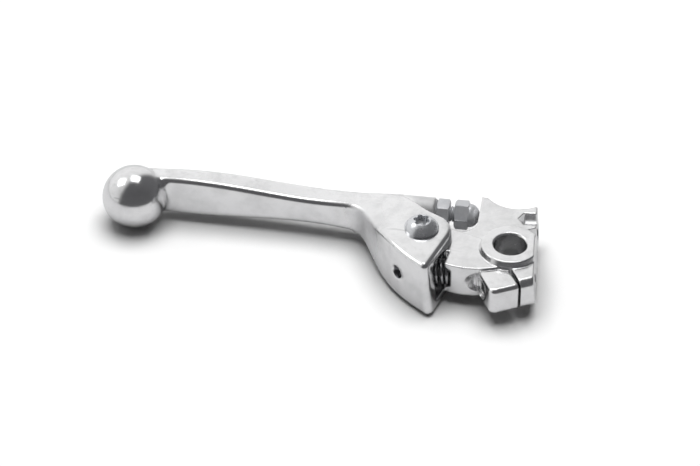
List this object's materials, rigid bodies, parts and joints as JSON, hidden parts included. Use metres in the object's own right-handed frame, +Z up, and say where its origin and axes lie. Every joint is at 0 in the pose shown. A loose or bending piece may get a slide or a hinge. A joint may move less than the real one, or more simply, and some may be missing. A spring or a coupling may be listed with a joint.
{
  "type": "motorcycle brake lever",
  "caption": "Hinged front brake lever: ball-ended forged blade folds on a clevis against a spring, with a reach adjuster bearing on the pivot arm.",
  "frame": {"origin": "on the axis of the main pivot bore, at half the arm's thickness", "axes": "+Z up along the main pivot bore, -X along the blade to the centre of its ball end, +Y towards the handlebar"},
  "size_m": [0.1415, 0.044, 0.0224],
  "materials": {
    "polished_blade": "forged and polished",
    "polished_arm": "forged, polished, holes machined",
    "screw_steel": "bright zinc plated",
    "sleeve_steel": "ground",
    "washer_steel": "plain",
    "spring_steel": "dark drawn wire",
    "nut_steel": "bright zinc plated",
    "stud_steel": "bright zinc plated",
    "cap_steel": "bright zinc plated"
  },
  "bodies": {
    "arm": {"pivot_arm": "polished_arm"},
    "blade": {"lever_blade": "polished_blade", "fold_screw": "screw_steel", "fold_sleeve": "sleeve_steel", "thrust_washer_upper": "washer_steel", "thrust_washer_lower": "washer_steel", "return_spring": "spring_steel", "lock_nut": "nut_steel"},
    "adjuster": {"adjuster_stud": "stud_steel"},
    "adjuster_cap": {"adjuster_cap": "cap_steel"}
  },
  "joints": [
    {"name": "blade_fold", "type": "hinge", "parent": "arm", "child": "blade", "pos_m": [-0.0272, -0.0024, 0], "axis": [0, 0, 1], "range_deg": [0, 12], "stiffness_Nm_per_rad": 0.45, "springref_deg": -12.03, "deforming": ["return_spring"]},
    {"name": "adjuster_travel", "type": "slide", "parent": "blade", "child": "adjuster", "axis": [0.9925, 0.1219, 0], "range_m": [-0.0012, 0]},
    {"name": "adjuster_turn", "type": "hinge", "parent": "adjuster", "child": "adjuster_cap", "pos_m": [-0.0272, 0.0175, 0], "axis": [0.9925, 0.1219, 0], "range_deg": [-541, 0]}
  ],
  "couplings": [
    {"joint": "adjuster_turn", "follows": "adjuster_travel", "rad_per_m": 7854}
  ]
}
